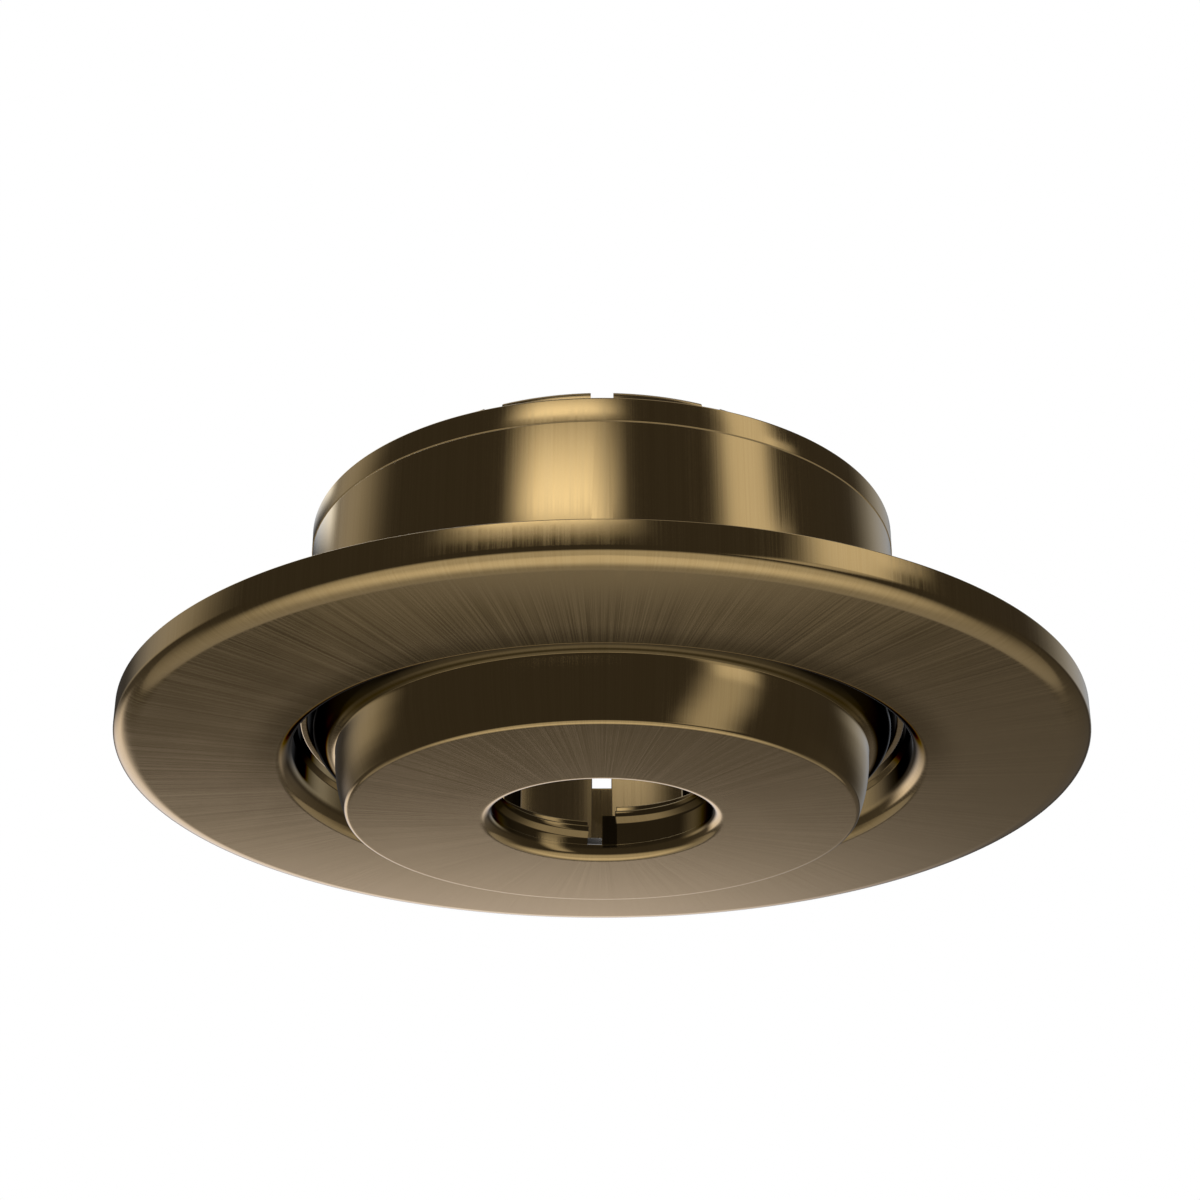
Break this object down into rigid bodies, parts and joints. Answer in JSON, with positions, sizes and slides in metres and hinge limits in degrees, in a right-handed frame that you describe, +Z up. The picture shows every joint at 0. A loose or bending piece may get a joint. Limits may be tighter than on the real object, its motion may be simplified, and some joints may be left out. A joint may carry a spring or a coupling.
{
  "type": "ceiling air diffuser",
  "caption": "Round brushed-brass ceiling air diffuser with a flanged face ring, duct spigot and a slotted centre core that slides and turns.",
  "frame": {"origin": "middle of the underside: the axis of the diffuser in the plane of the lowest face, the bottom of the centre cup at rest. The ceiling plane is 12.67 mm above it", "axes": "+Z up the duct along the diffuser's axis; -Y is the front and +Y the side with the open seam of the spigot sleeve; -Z faces the room"},
  "size_m": [0.155, 0.155, 0.0562],
  "materials": {
    "brushed_brass": "brushed antique brass, satin",
    "inner_brass": "mill finish brass sheet",
    "spring_steel": "bright",
    "zinc_steel": "zinc plated",
    "guide_polymer": "moulded",
    "seal_rubber": "matt",
    "gasket_foam": "closed-cell foam"
  },
  "bodies": {
    "frame": {"face_ring": "brushed_brass", "ceiling_gasket": "gasket_foam", "spigot_sleeve": "brushed_brass", "guide_plate": "brushed_brass", "sleeve_rivet_1": "zinc_steel", "sleeve_rivet_2": "zinc_steel", "sleeve_rivet_3": "zinc_steel", "plate_screw_1": "zinc_steel", "plate_screw_2": "zinc_steel", "plate_screw_3": "zinc_steel", "plate_washer_1": "zinc_steel", "plate_washer_2": "zinc_steel", "plate_washer_3": "zinc_steel", "plate_nut_1": "zinc_steel", "plate_nut_2": "zinc_steel", "plate_nut_3": "zinc_steel"},
    "guide": {"guide_ring": "guide_polymer", "friction_ring": "seal_rubber", "retaining_ring": "spring_steel"},
    "core": {"finger_sleeve": "inner_brass", "centre_cup": "brushed_brass", "lock_ring": "spring_steel", "finger_spring": "spring_steel"}
  },
  "joints": [
    {"name": "core_turn", "type": "hinge", "parent": "frame", "child": "guide", "pos_m": [0, 0, 0.03507], "axis": [0, 0, 1], "continuous": true},
    {"name": "core_slide", "type": "slide", "parent": "guide", "child": "core", "axis": [0, 0, 1], "range_m": [-0.007, 0.0035]}
  ]
}
